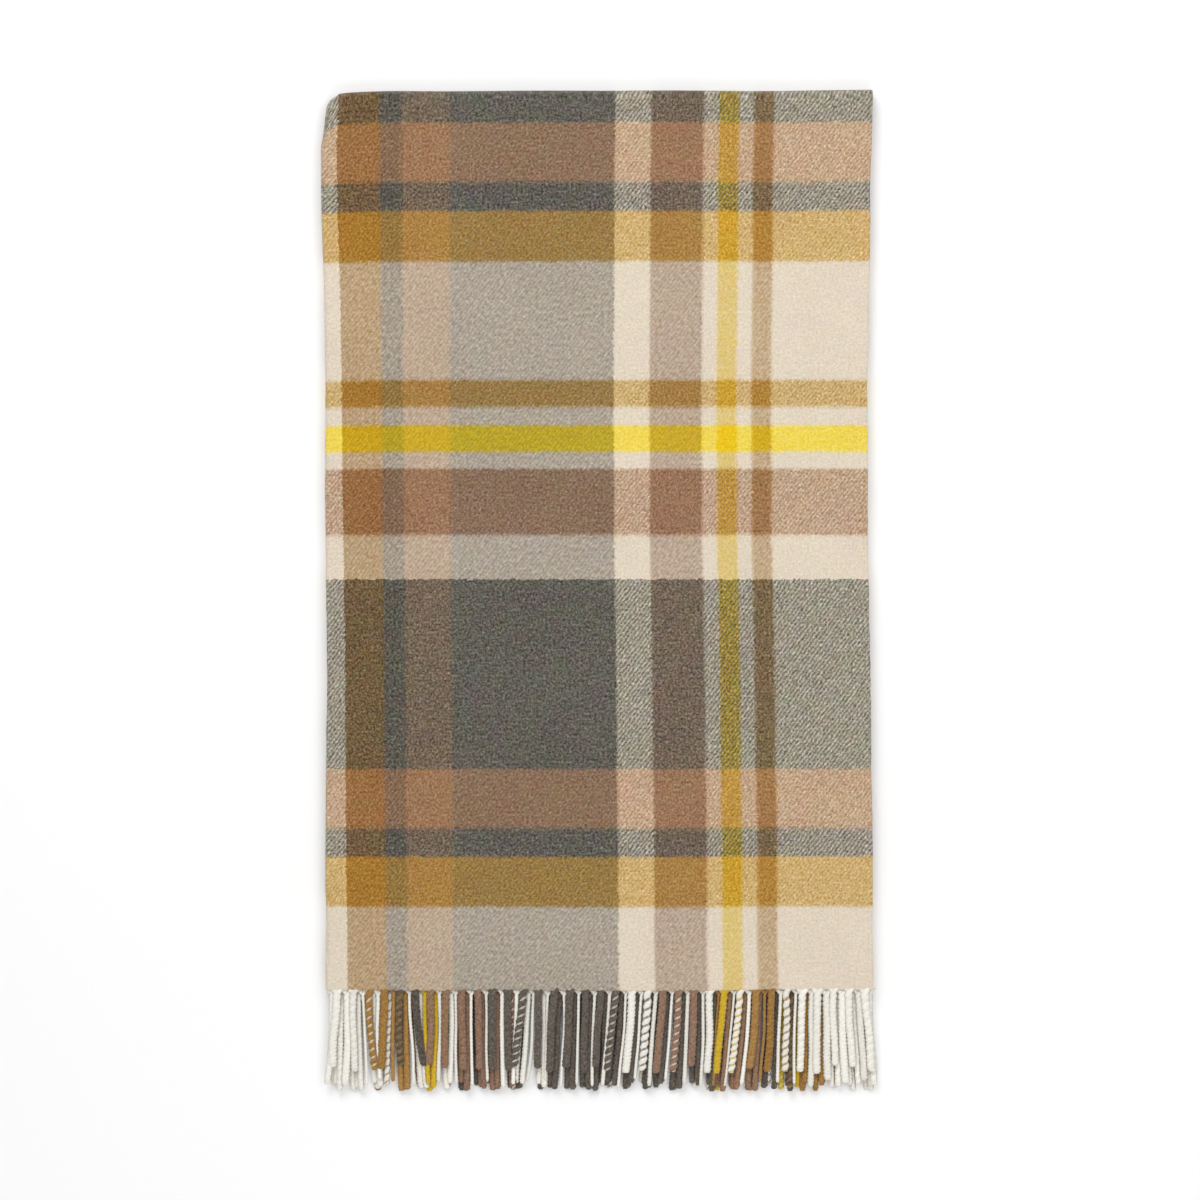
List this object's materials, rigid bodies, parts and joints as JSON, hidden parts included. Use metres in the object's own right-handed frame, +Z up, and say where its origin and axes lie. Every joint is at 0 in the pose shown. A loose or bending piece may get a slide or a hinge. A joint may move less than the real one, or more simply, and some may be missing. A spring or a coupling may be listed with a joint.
{
  "type": "throw blanket",
  "caption": "Woven wool check throw blanket with twisted fringe, folded flat into a long stack whose upper half opens on the end fold.",
  "frame": {"origin": "middle of the folded stack's footprint, fringe included, on the surface it lies on", "axes": "+X across the stack towards the open selvedges, +Y along it towards the halving fold, away from the fringe, +Z up"},
  "size_m": [0.5, 0.9149, 0.0179],
  "materials": {
    "check_cloth": "matte brushed wool, 2/2 twill check",
    "ecru_yarn": "matte twisted wool",
    "camel_yarn": "matte twisted wool",
    "yellow_yarn": "matte twisted wool",
    "taupe_yarn": "matte twisted wool",
    "charcoal_yarn": "matte twisted wool",
    "tan_yarn": "matte twisted wool",
    "slate_yarn": "matte twisted wool",
    "ochre_yarn": "matte twisted wool",
    "mixed_fringe": "matte twisted wool in the cloth's stripe colours"
  },
  "bodies": {
    "lower_half": {"lower_cloth": "check_cloth", "lower_middle_fringe": "mixed_fringe", "lower_flap_fringe": "mixed_fringe", "lower_outer_fringe": "mixed_fringe"},
    "upper_half": {"upper_cloth": "check_cloth", "front_tassel_01": "ecru_yarn", "front_tassel_02": "ecru_yarn", "front_tassel_03": "ecru_yarn", "front_tassel_04": "ecru_yarn", "front_tassel_05": "ecru_yarn", "front_tassel_06": "ecru_yarn", "front_tassel_07": "camel_yarn", "front_tassel_08": "camel_yarn", "front_tassel_09": "ecru_yarn", "front_tassel_10": "yellow_yarn", "front_tassel_11": "ecru_yarn", "front_tassel_12": "taupe_yarn", "front_tassel_13": "taupe_yarn", "front_tassel_14": "taupe_yarn", "front_tassel_15": "ecru_yarn", "front_tassel_16": "ecru_yarn", "front_tassel_17": "ecru_yarn", "front_tassel_18": "charcoal_yarn", "front_tassel_19": "charcoal_yarn", "front_tassel_20": "charcoal_yarn", "front_tassel_21": "charcoal_yarn", "front_tassel_22": "charcoal_yarn", "front_tassel_23": "charcoal_yarn", "front_tassel_24": "charcoal_yarn", "front_tassel_25": "charcoal_yarn", "front_tassel_26": "charcoal_yarn", "front_tassel_27": "charcoal_yarn", "front_tassel_28": "tan_yarn", "front_tassel_29": "tan_yarn", "front_tassel_30": "tan_yarn", "front_tassel_31": "slate_yarn", "front_tassel_32": "slate_yarn", "front_tassel_33": "ochre_yarn", "front_tassel_34": "ochre_yarn", "front_tassel_35": "ecru_yarn", "upper_flap_fringe": "mixed_fringe", "upper_middle_fringe": "mixed_fringe"}
  },
  "joints": [
    {"name": "top_fold", "type": "hinge", "parent": "lower_half", "child": "upper_half", "pos_m": [0, 0.4575, 0.00895], "axis": [-1, 0, 0], "range_deg": [0, 180]}
  ]
}
